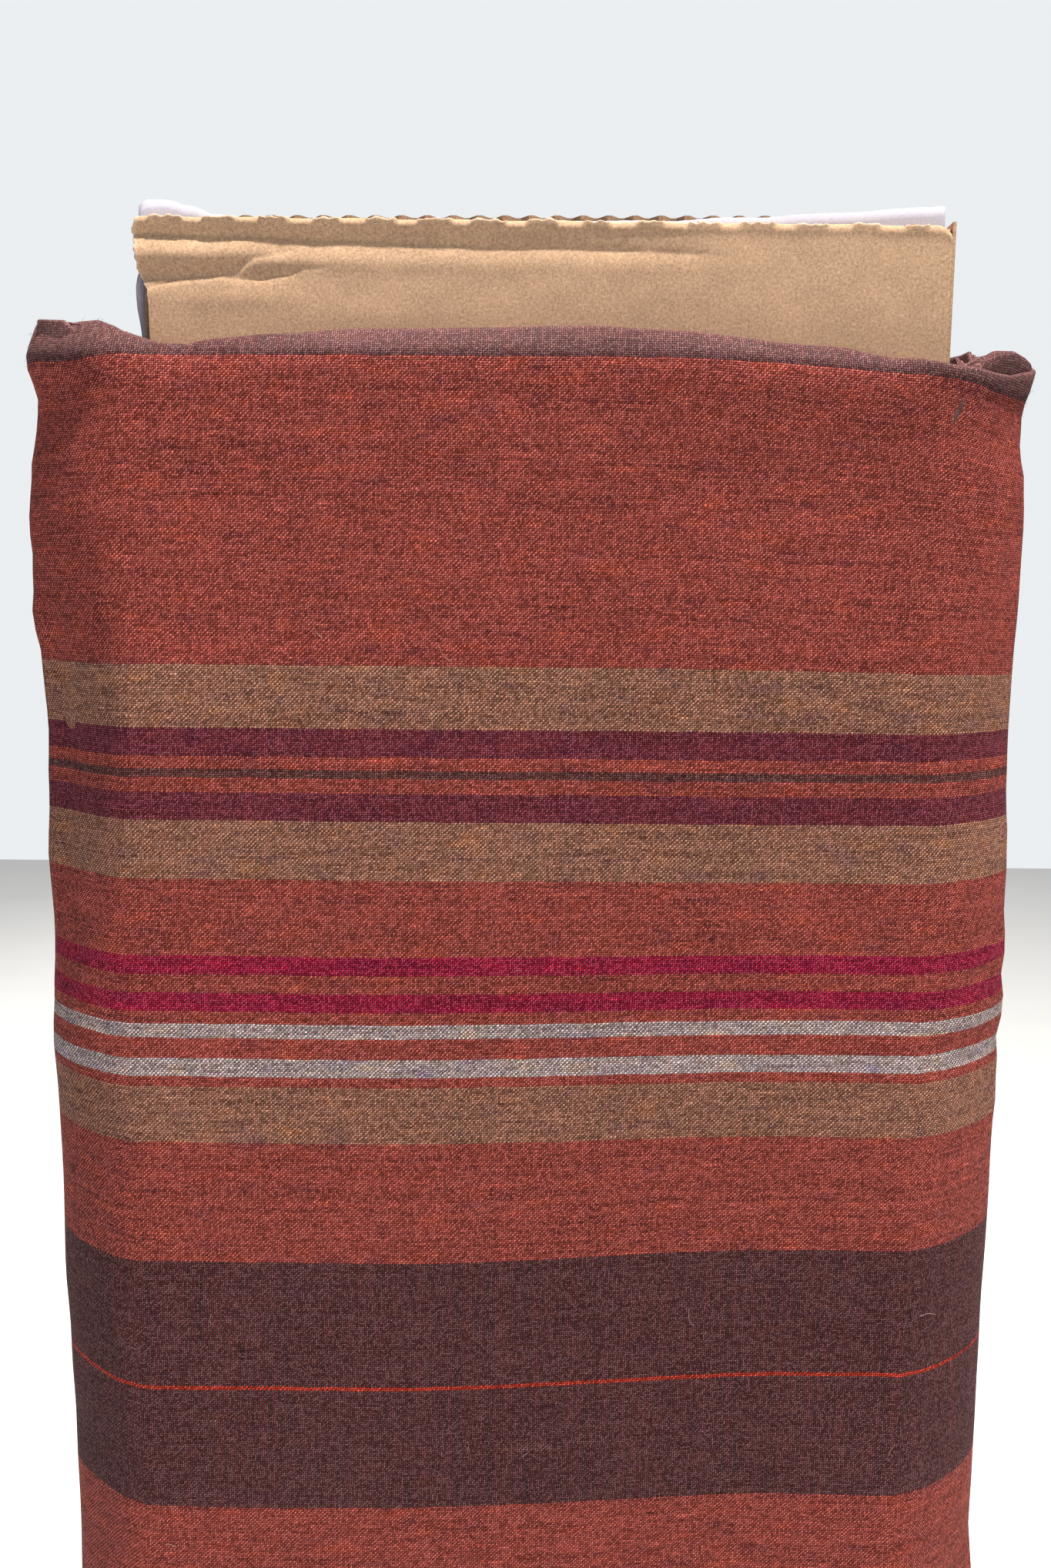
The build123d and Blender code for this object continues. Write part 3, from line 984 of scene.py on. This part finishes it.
class BOLT_OT_fibres(bpy.types.Operator):
    """Fuzz along the fold, a few lint fibres on the cloth and the frayed ends along the raw edge"""
    bl_idname = "bolt.fibres"
    bl_label = "Loose fibres"

    def execute(self, context):
        mesh = bpy.data.objects["outer_turn"].data
        points = np.empty(len(mesh.vertices) * 3, dtype=np.float32)
        mesh.vertices.foreach_get("co", points)
        path = outer_path()
        points = points.reshape(len(path.turn), sum(OUTER_ROWS), 3)
        shown = points[path.turn > end_turn() - 1]
        face, fold, _ = OUTER_ROWS
        pale = fibre_material("Pale lint", (0.62, 0.50, 0.44), (0.46, 0.22, 0.17))
        mauve = fibre_material("Fold fuzz", (0.30, 0.19, 0.18), (0.17, 0.09, 0.09))
        wine = fibre_material("Frayed ends", (0.30, 0.06, 0.05), (0.16, 0.035, 0.035))
        fuzz = scatter_fibres("fold_fuzz", shown[:, face - FUZZ_ROWS:face + fold - 1], *FUZZ, mauve)
        lint = scatter_fibres("lint_fibres", shown[:, :face], *LINT, pale)
        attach(fuzz, "winding")
        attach(lint, "winding")

        end = Path(end_turn() - 0.0012, end_turn(), 0.5 * MM, 0.5 * MM)
        lift = loose_lift(end)
        rows = np.linspace(2 * MM, CLOTH_TOP - 6 * MM, EDGE_ROWS)
        edge = []
        for off in (DOUBLED / 4, -DOUBLED / 4):
            x = end.x + end.nx * (lift + off)
            y = end.y + end.ny * (lift + off)
            sheet = np.stack([np.repeat(x[:, None], EDGE_ROWS, 1), np.repeat(y[:, None], EDGE_ROWS, 1),
                              np.repeat(rows[None, :], len(x), 0)], axis=-1)
            edge.append(sheet)
        for number, sheet in enumerate(edge):
            label = ("outer_ply_fringe", "inner_ply_fringe")[number]
            area = 0.72 * np.linalg.norm(sheet[-1, 0] - sheet[0, 0])
            fringe = scatter_fibres(label, sheet, FRINGE_ENDS / area, FRINGE_SEED + number, *FRINGE, wine)
            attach(fringe, "loose_end")
        return {"FINISHED"}


# ---------------------------------------------------------------- papers of the board

def paper_grain_group():
    """Pressed fibres of a paper face: a soft cloud, fine speckle, dark shives and pale fibres."""
    tree, g, given, out = group_of(
        "Paper grain", [("Place", "NodeSocketVector", None)],
        [("Cloud", "NodeSocketFloat"), ("Speckle", "NodeSocketFloat"), ("Shives", "NodeSocketFloat"),
         ("Pale fibres", "NodeSocketFloat"), ("Height", "NodeSocketFloat")])
    place = given["Place"]
    cloud = g.noise(place, 55, 4, 0.6)
    speckle = g.noise(place, 1500, 3, 0.75)
    fine = g.noise(place, 4200, 2, 0.6)
    bend = g.times(g.minus(g.noise(place, 300, 2), 0.5), 0.002)
    parts = g.split(place)
    crossing = g.vector(g.times(g.plus(parts[0], bend), 520), 0.0,
                        g.times(g.plus(parts[2], bend), 1900))
    upright = g.vector(g.times(g.plus(parts[0], bend), 2000), 4.0,
                       g.times(g.plus(parts[2], bend), 600))
    pale = g.ramp(g.math("MAXIMUM", g.noise(crossing, 1.0, 1), g.noise(upright, 1.0, 1)), 0.66, 0.76)
    g.feed(out["Cloud"], g.minus(cloud, 0.5))
    g.feed(out["Speckle"], g.minus(g.plus(g.times(speckle, 0.6),
                                                     g.times(fine, 0.4)), 0.5))
    g.feed(out["Shives"], g.ramp(g.noise(g.vector(parts[2], parts[0], parts[1]), 760, 2, 0.7), 0.735, 0.78))
    g.feed(out["Pale fibres"], pale)
    g.feed(out["Height"], g.plus(speckle, g.times(fine, 0.5)))
    return tree


def paper_material(name, tint, contrast, dark, pale, rim_and_crease_shade_map=False):
    """Uncoated paper; with the map flag, the pale rim of torn edges and painted shade along deep creases come
    from the piece's own UV map.
    """
    if name in bpy.data.materials:
        return bpy.data.materials[name]
    material, g, shader = new_material(name, 0.93, 0.2)
    place = g.add("ShaderNodeTexCoord").outputs["Object"]
    tree = bpy.data.node_groups.get("Paper grain") or paper_grain_group()
    grain = place_group(g, tree, Place=place)
    light = g.plus(1.0, g.times(grain["Cloud"], 0.34 * contrast))
    light = g.plus(light, g.times(grain["Speckle"], 2.7 * contrast))
    surface = g.mix(1.0, (*tint, 1), g.grey(light), "MULTIPLY")
    surface = g.mix(g.times(grain["Shives"], dark), surface, (0.06, 0.03, 0.015, 1))
    surface = g.mix(g.times(grain["Pale fibres"], pale), surface, (0.82, 0.66, 0.5, 1))
    if rim_and_crease_shade_map:
        torn = g.split(g.add("ShaderNodeUVMap", uv_map="Torn").outputs[0])
        rough_edge = g.times(torn[0], g.ramp(g.noise(place, 1900, 2), 0.3, 0.7, 0.35, 1.0))
        surface = g.mix(rough_edge, surface, (0.72, 0.55, 0.42, 1))
        # painted shade: the map's second channel darkens the kraft along deep creases
        surface = g.mix(g.times(torn[1], 0.85), surface, (0.07, 0.035, 0.018, 1))
    g.feed(shader.inputs["Base Color"], surface)
    g.feed(shader.inputs["Normal"], bump_normal(g, grain["Height"], 0.35, 0.05 * MM))
    g.feed(shader.inputs["Roughness"], g.ramp(grain["Speckle"], -0.3, 0.3, 0.97, 0.86))
    return material


def kraft():
    return paper_material("Brown kraft face", bpy.context.scene.bolt_colours.kraft, 1.0, 0.75, 0.30)


def creased_kraft():
    tint = bpy.context.scene.bolt_colours.kraft
    return paper_material("Creased kraft face", tint, 1.0, 0.75, 0.30, rim_and_crease_shade_map=True)


def white_face():
    return paper_material("White face", bpy.context.scene.bolt_colours.white, 0.25, 0.25, 0.1)


def fluted_paper():
    brown = [c * 0.62 for c in bpy.context.scene.bolt_colours.kraft]
    return paper_material("Fluted medium", brown, 1.1, 0.6, 0.25)


def folded_kraft():
    brown = [c * 0.93 for c in bpy.context.scene.bolt_colours.kraft]
    return paper_material("Folded kraft edge", brown, 1.15, 0.8, 0.45)


# ---------------------------------------------------------------- board: the crushed top edge

TOP_LEFT_RISE = 0.6 * MM          # the top edge runs a little crooked
CUT_PITCH = 13.05 * MM            # of the cuts along the top fold
CUT_LENGTH = 7.6 * MM
CUT_START = 3.0 * MM
BARE_LEFT = FRONT_LOW[0] + 1.3 * MM


def board_top(x):
    """Height of the folded top edge: it drops to the right and rounds off at the corner."""
    share = (BOARD_HIGH[0] - x) / (BOARD_HIGH[0] - BOARD_LOW[0])
    corner = 2.2 * MM * smooth((x - BOARD_HIGH[0] + 5.0 * MM) / (5.2 * MM)) ** 2
    return TOP_FOLD_HIGH[2] - 0.4 * MM + TOP_LEFT_RISE * share - corner + 0.12 * MM * np.sin(x * 260)


def in_cut(x):
    """1 inside a cut of the top fold, 0 between cuts."""
    off = (x - CUT_START) / CUT_PITCH
    away = np.abs(off - np.round(off)) * CUT_PITCH
    uneven = 0.5 * MM * np.sin(np.round(off) * 5.1)
    return smooth((CUT_LENGTH / 2 + uneven - away) / (0.5 * MM) + 0.5)


def left_edge(depth):
    """The front panel's free edge, spread out and frayed where the corner is crushed."""
    mm = depth / MM
    return (BARE_LEFT - through(mm, [(-1, 1.2), (0.0, 1.6), (1.5, 2.8), (3.2, 3.9), (7, 3.3), (13, 2.6),
                                     (15.5, 1.5), (17.5, 0.4), (22, 0.1), (30, 0.0), (800, 0.0)]) * MM
            + (0.16 * MM * np.sin(mm * 2.9) + 0.10 * MM * np.sin(mm * 7.3)) * smooth((20 - mm) / 4))


def pressed_line(depth, line, above, below):
    """A crease: 1 on the line, falling away over different widths above and below it."""
    off = depth - line
    return np.exp(-np.abs(off) / np.where(off < 0, above, below))


def crush(x_m, depth_m):
    """Relief of the crushed top of the front panel, outwards, in metres; x and depth below the edge given."""
    x = x_m / MM
    d = depth_m / MM
    first = through(x, [(-97, 4.3), (-72, 4.6), (-40, 5.4), (-10, 6.4), (15, 6.9), (36, 7.6), (60, 8.4)])
    depth_first = through(x, [
        (-97, 1.35), (-60, 1.25), (-20, 1.0), (12, 0.75), (34, 0.45), (50, 0.0), (104, 0.0)])
    relief = -depth_first * pressed_line(d, first, 1.7, 2.1)
    lip = through(x, [(-97, 0.9), (-20, 0.8), (20, 0.6), (60, 0.3), (104, 0.35)])
    relief += lip * bump(d, 1.0, 1.7)
    # the ridge under the first crease, and the slanting crease that ends it
    ridge = through(x, [(-97, 1.0), (-76, 0.9), (-66, 0.45), (-58, 0.0), (104, 0.0)])
    ridge_line = through(x, [(-97, 9.4), (-76, 9.3), (-60, 8.0)])
    relief += ridge * np.where(d < ridge_line, bump(d, ridge_line, 3.2), bump(d, ridge_line, 2.9))
    second = through(x, [(-97, 15.4), (-88, 14.6), (-78, 13.9), (-73, 13.0), (-66, 9.9), (-58, 8.2)])
    depth_second = through(x, [(-97, 1.25), (-80, 1.1), (-70, 0.8), (-62, 0.45), (-56, 0.0), (104, 0.0)])
    relief -= depth_second * pressed_line(d, second, 2.6, 0.9)
    # a second, lens-shaped dent to the right of it
    third = through(x, [(-78, 14.2), (-67, 15.0), (-60, 13.8), (-54, 12.2), (-44, 11.6)])
    depth_third = through(x, [
        (-97, 0.0), (-77, 0.0), (-71, 0.55), (-62, 0.7), (-55, 0.35), (-46, 0.0), (104, 0.0)])
    relief -= depth_third * pressed_line(d, third, 2.6, 1.0)
    lens = through(x, [(-97, 0.0), (-76, 0.0), (-64, 0.55), (-50, 0.4), (-30, 0.22), (30, 0.12), (60, 0.0)])
    relief += lens * bump(d, 10.6, 2.4)
    # soft swellings lower down and a short crease at the free edge
    relief += 0.22 * bump(d, 19.5, 2.4) * bump(x, -72, 15) + 0.12 * bump(d, 23, 3) * bump(x, -40, 22)
    short = 17.0 + (x + 93) * -0.28
    relief -= 0.35 * pressed_line(d, short, 0.5, 0.5) * smooth((-84 - x) / 4)
    relief += 0.035 * ripple(x, d, 9.0, 31) * smooth((26 - d) / 8)
    return relief * MM


class BOLT_OT_board_face(bpy.types.Operator):
    """The front panel's kraft face and the cut fold along its top, crushed at the left-hand corner"""
    bl_idname = "bolt.board_face"
    bl_label = "Board face"

    def execute(self, context):
        step = 0.62 * MM
        columns = np.arange(BARE_LEFT + 0.2 * MM, FRONT_HIGH[0] + step / 2, step)
        columns[-1] = FRONT_HIGH[0]
        spread = np.linspace(1, 0, 7)[:-1]
        low = np.array([FRONT_LOW[2], 0.3, 0.6, 0.70])
        low = np.concatenate([low, np.linspace(0.712, 0.7255, 8)])
        depths = np.concatenate([TOP_FOLD_HIGH[2] - low, np.linspace(22.5, 2.2, 46) * MM])
        arc_rows = 9
        radius = 2.0 * MM
        flat_end = TOP_FOLD_HIGH[1] - 0.6 * MM

        x = np.concatenate([np.zeros(len(spread)), columns])[:, None]
        to_edge = np.concatenate([spread, np.zeros(len(columns))])[:, None]

        def across(depth):
            return np.where(to_edge > 0, columns[0] + (left_edge(depth) - columns[0]) * to_edge, x)

        front = FRONT_LOW[1]
        face_x = across(depths[None, :])
        top = board_top(face_x)
        face_z = np.where(depths > 25 * MM, TOP_FOLD_HIGH[2] - depths, top - depths)
        face_y = front - crush(face_x, depths[None, :])
        # round over the fold; in a cut the face stands straight up to a ragged edge instead
        share = np.linspace(0, 1, arc_rows + 1)[None, 1:]
        arc_x = across((2.2 * MM) * (1 - share))
        arc_top = board_top(arc_x)
        rise = 2.2 * MM - radius
        lean = crush(arc_x, 2.2 * MM * (1 - share))
        angle = share * math.pi / 2
        round_y = front - lean * (1 - share) + radius * (1 - np.cos(angle))
        round_z = arc_top - radius + radius * np.sin(angle) - rise * (1 - share) * 0.6
        ragged = 0.28 * MM * ripple(arc_x, share * 0.004, 2.2 * MM, 41)
        up = share < 0.62
        cut_y = np.where(up, front - lean, front + radius + 0.1 * MM + ragged * 0.5)
        cut_z = np.where(up, arc_top - 2.2 * MM + share / 0.62 * (2.0 * MM + ragged), arc_top - 0.05 * MM)
        cut = in_cut(arc_x) * smooth((FRONT_HIGH[0] - 5 * MM - arc_x) / MM)
        arc_y = round_y + (cut_y - round_y) * cut
        arc_z = round_z + (cut_z - round_z) * cut
        # flat over the top, then down behind the tucked flap
        over = np.linspace(0, 1, 8)[None, 1:]
        over_x = np.broadcast_to(arc_x[:, -1:], (len(x), over.shape[1]))
        over_y = front + radius + (flat_end - front - radius) * over
        over_z = board_top(over_x) + 0.10 * MM * ripple(over_x, over_y, 5 * MM, 43)
        down = np.linspace(0, 1, 6)[None, 1:]
        down_y = flat_end + 0.35 * MM * np.sin(down * math.pi / 2) + 0 * over_x[:, :1]
        down_z = over_z[:, -1:] - 1.8 * MM * down ** 1.6

        full = (len(x), 1)
        points = np.concatenate([
            np.stack([face_x, face_y, face_z], axis=-1),
            np.stack([arc_x, arc_y, arc_z], axis=-1),
            np.stack([over_x, over_y * np.ones(full), over_z], axis=-1),
            np.stack([np.broadcast_to(over_x[:, :1], down_y.shape), down_y, down_z], axis=-1)], axis=1)
        rows = points.shape[1]
        faces = grid_faces(len(x), rows)
        last_up = len(depths) + int(np.count_nonzero(up[0])) - 1
        inside = np.broadcast_to(cut[:, :1] > 0.5, (len(x), rows))
        column, row = faces[:, 0] // rows, faces[:, 0] % rows
        gap = (row == last_up) & inside[column, row] & inside[np.minimum(column + 1, len(x) - 1), row]
        faces = faces[~gap]

        torn = np.zeros((len(x), rows))
        rim = bump(np.arange(arc_rows), last_up - len(depths) + 0.5, 1.2)
        torn[:, len(depths):len(depths) + arc_rows] = cut * rim
        torn[:3, :] = np.maximum(torn[:3, :], 0.7 * smooth((26 - depths.max() / MM + 0 * torn[:3, :]) / 4))
        torn[0, len(low):] = 0.8
        torn[1, len(low):] = 0.4
        # painted shade: the second channel darkens the kraft where the crushed relief sinks deep into a
        # crease
        dark = np.zeros((len(x), rows))
        crease = crush(points[..., 0], np.maximum(TOP_FOLD_HIGH[2] - points[..., 2], 0))
        dark[:, 4:len(depths)] = 0.22 * smooth((-crease[:, 4:len(depths)] / MM - 0.75) / 0.6)
        piece = mesh_object("front_face_and_top_fold", points, faces,
                            {"Torn": np.stack([torn, dark], axis=-1)})
        thicken(piece, FRONT_HIGH[1] - FRONT_LOW[1], -1.0)
        piece.data.materials.append(creased_kraft())
        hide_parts("front_panel_outer_liner", "top_fold")
        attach(piece, "board")
        return {"FINISHED"}


class BOLT_OT_crushed_flutes(bpy.types.Operator):
    """The front panel's fluted medium, flattened under the crushed edge, with its torn tips in the cuts"""
    bl_idname = "bolt.crushed_flutes"
    bl_label = "Crushed flutes"

    def execute(self, context):
        low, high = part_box("front_panel_flutes")
        waves = round((high[0] - low[0]) / (6.5 * MM))
        x = np.linspace(low[0], high[0], waves * 12 + 1)[:, None]
        z = np.concatenate([[low[2], 0.35], [0.70], np.linspace(0.718, high[2] - 0.6 * MM, 22)])[None, :]
        half = (high[1] - low[1] - 0.3 * MM) / 2
        middle = (low[1] + high[1]) / 2
        press = np.minimum(crush(x, np.maximum(TOP_FOLD_HIGH[2] - z, 0)), 0) * smooth((z - 0.716) / (6 * MM))
        wave = np.sin((x - low[0]) / (high[0] - low[0]) * waves * math.tau)
        room = half + press / 2
        y = middle - press / 2 + 0.1 * MM * smooth(-press / MM) + wave * (room - 0.06 * MM)
        points = np.stack([x + 0 * z, y, z + 0 * x], axis=-1)
        piece = mesh_object("crushed_flutes", points, grid_faces(len(x), z.shape[1]))
        thicken(piece, 0.3 * MM)
        piece.data.materials.append(fluted_paper())
        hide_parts("front_panel_flutes")
        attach(piece, "board")

        tips = []
        faces = []
        for k in range(-7, 8):
            centre = CUT_START + k * CUT_PITCH
            if not BARE_LEFT + 5 * MM < centre < FRONT_HIGH[0] - 4 * MM:
                continue
            across = np.linspace(-3.3 * MM, 3.3 * MM, 23)[:, None]
            up = np.linspace(0, 1, 4)[None, :]
            place = centre + across
            ragged = 0.42 * MM * ripple(place, 0.0, 1.5 * MM, 60 + k)
            ragged = ragged + 0.15 * MM * np.sin(across / MM * 9 + k)
            ends = smooth((3.3 * MM - np.abs(across)) / (0.9 * MM))
            z = board_top(place) - 2.4 * MM + up * (1.95 * MM + ragged) * (0.5 + 0.5 * ends)
            y = FRONT_LOW[1] + 0.78 * MM + 0.22 * MM * np.sin(across / MM * 1.9 + k)
            y = y - 0.15 * MM * up * np.cos(k)
            faces.append(grid_faces(23, 4) + 23 * 4 * len(tips))
            tips.append(np.stack([place + 0 * up, y + 0 * up, z], axis=-1).reshape(-1, 3))
        torn = mesh_object("torn_ply_in_cuts", np.concatenate(tips), np.concatenate(faces))
        thicken(torn, 0.28 * MM)
        torn.data.materials.append(fluted_paper())
        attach(torn, "board")
        return {"FINISHED"}


class BOLT_OT_back_face(bpy.types.Operator):
    """The back panel's white inner face, which stands a little above the front and curls at its corners"""
    bl_idname = "bolt.back_face"
    bl_label = "Back panel's white face"

    def execute(self, context):
        columns = np.linspace(BACK_LOW[0], BACK_HIGH[0], 200)[:, None]
        x = columns / MM
        rise = through(x, [
            (-97, 4.0), (-95, 5.8), (-90, 6.0), (-84, 4.4), (-78, 2.2), (-72, 1.3), (-20, 1.2),
            (30, 1.5), (55, 2.6), (80, 4.0), (98, 5.6), (102.4, 5.8), (103.2, 4.2)]) * MM
        rise = rise + 0.12 * MM * np.sin(x * 0.31) + 0.05 * MM * np.sin(x * 1.7)
        up = np.concatenate([[0.0, 0.4, 0.8, 0.93], np.linspace(0.95, 1.0, 16)])[None, :]
        z = up * (TOP_FOLD_HIGH[2] + rise)
        lift = np.maximum(z - TOP_FOLD_HIGH[2] + 1.5 * MM, 0)
        curl = bump(x, -90, 11) * 26 + bump(x, 100, 18) * 14
        y = BACK_LOW[1] + 0.02 * MM + curl * lift ** 2
        bare_strip = smooth((-94.3 - x) / 0.8) * smooth((z - 0.722) / (8 * MM))
        y = y - 3.6 * MM * bare_strip * smooth((0.7385 - z) / (5 * MM))
        points = np.stack([columns + 0 * z, y, z], axis=-1)
        piece = mesh_object("back_panel_white_face", points, grid_faces(200, up.shape[1]))
        thicken(piece, 0.3 * MM, -1.0)
        piece.data.materials.append(white_face())
        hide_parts("back_panel_inner_liner")
        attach(piece, "board")
        return {"FINISHED"}


class BOLT_OT_board_papers(bpy.types.Operator):
    """Papers of the board pieces that keep their shape"""
    bl_idname = "bolt.board_papers"
    bl_label = "Board papers"

    def execute(self, context):
        papers = {"kraft_liner": kraft, "white_liner": white_face,
                  "fluting": fluted_paper, "fold": folded_kraft}
        for node in bpy.data.objects["body:board"].children:
            for place in node.material_slots:
                if place.material.name in papers:
                    place.material = papers[place.material.name]()
        return {"FINISHED"}


# ---------------------------------------------------------------- stage

# Name, place, target, width in metres, power in watts and tint of each lamp.
LAMPS = (
    ("key", (0.55, -0.46, 3.10), (0.0, 0.0, 0.60), 0.16, 172.0, (1.0, 0.95, 0.88)),
    ("fill", (-1.0, -1.9, 0.9), (0.0, 0.0, 0.45), 1.6, 9.0, (0.92, 0.95, 1.0)),
    ("back", (-0.8, 1.8, 1.6), (0.0, 0.0, 0.5), 1.2, 14.0, (1.0, 0.98, 0.95)),
)


class BOLT_OT_stage(bpy.types.Operator):
    """Pale floor, soft studio light and the camera"""
    bl_idname = "bolt.stage"
    bl_label = "Stage"

    def execute(self, context):
        scene = context.scene
        stage = scene.bolt_stage
        floor = mesh_object("floor", np.array([[x, y, 0.0] for x, y in ((-3, -3), (3, -3), (3, 3), (-3, 3))]),
                            np.array([[0, 1, 2, 3]]))
        material, g, shader = new_material("Pale floor", 0.8)
        place = g.add("ShaderNodeTexCoord").outputs["Object"]
        paint = g.mix(g.noise(place, 6), (0.74, 0.74, 0.73, 1), (0.8, 0.8, 0.79, 1))
        g.feed(shader.inputs["Base Color"], paint)
        floor.data.materials.append(material)

        world = bpy.data.worlds.new("Soft daylight")
        world.use_nodes = True
        g = Graph(world.node_tree)
        seen = g.add("ShaderNodeLightPath").outputs["Is Camera Ray"]
        background = world.node_tree.nodes["Background"]
        g.feed(background.inputs["Color"], g.mix(seen, (0.86, 0.92, 1.0, 1), (0.83, 0.86, 0.88, 1)))
        g.feed(background.inputs["Strength"], g.ramp(seen, 0, 1, 0.33, 1.0))
        scene.world = world

        for lamp in LAMPS:
            self.lamp(*lamp)

        camera = bpy.data.cameras.new("camera")
        camera.sensor_fit = "VERTICAL"
        camera.sensor_height = 36
        camera.lens = stage.focal
        camera.clip_start = 0.01
        seat = bpy.data.objects.new("camera", camera)
        seat.location = (0.0, WINDING_LOW[1] - stage.distance, CLOTH_TOP - stage.below_fold)
        turn = Euler((math.pi / 2 - stage.tilt, 0, 0)).to_matrix() @ Euler((0, 0, stage.roll)).to_matrix()
        seat.rotation_euler = turn.to_euler()
        scene.collection.objects.link(seat)
        scene.camera = seat
        scene.view_settings.view_transform = "Standard"
        return {"FINISHED"}

    def lamp(self, name, place, target, size, power, tint):
        data = bpy.data.lights.new(name, "AREA")
        data.shape = "DISK"
        data.size = size
        data.energy = power
        data.color = tint
        lamp = bpy.data.objects.new(name, data)
        lamp.location = place
        way = Vector(target) - Vector(place)
        lamp.rotation_euler = way.to_track_quat("-Z", "Y").to_euler()
        bpy.context.scene.collection.objects.link(lamp)


OPERATORS = [BOLT_OT_wound_turns, BOLT_OT_outer_turn, BOLT_OT_loose_end, BOLT_OT_fibres, BOLT_OT_board_papers,
             BOLT_OT_board_face, BOLT_OT_crushed_flutes, BOLT_OT_back_face, BOLT_OT_stage]


class BOLT_PT_sidebar(bpy.types.Panel):
    """Everything that can be built, in order, and the settings behind it"""
    bl_idname = "BOLT_PT_sidebar"
    bl_label = "Fabric Bolt"
    bl_space_type = "VIEW_3D"
    bl_region_type = "UI"
    bl_category = "Fabric Bolt"

    def draw(self, context):
        layout = self.layout
        for operator in OPERATORS:
            layout.operator(operator.bl_idname)
        for settings in (context.scene.bolt_cloth, context.scene.bolt_colours, context.scene.bolt_stage):
            box = layout.box()
            for name in settings.__annotations__:
                box.prop(settings, name)


CLASSES = [ClothSettings, ColourSettings, StageSettings, *OPERATORS, BOLT_PT_sidebar]


def register():
    for item in CLASSES:
        bpy.utils.register_class(item)
    bpy.types.Scene.bolt_cloth = PointerProperty(type=ClothSettings)
    bpy.types.Scene.bolt_colours = PointerProperty(type=ColourSettings)
    bpy.types.Scene.bolt_stage = PointerProperty(type=StageSettings)


def unregister():
    del bpy.types.Scene.bolt_stage
    del bpy.types.Scene.bolt_colours
    del bpy.types.Scene.bolt_cloth
    for item in reversed(CLASSES):
        bpy.utils.unregister_class(item)


def main():
    register()
    bpy.ops.bolt.wound_turns()
    bpy.ops.bolt.outer_turn()
    bpy.ops.bolt.loose_end()
    bpy.ops.bolt.fibres()
    bpy.ops.bolt.board_papers()
    bpy.ops.bolt.board_face()
    bpy.ops.bolt.crushed_flutes()
    bpy.ops.bolt.back_face()
    bpy.ops.bolt.stage()


if __name__ == "__main__":
    main()
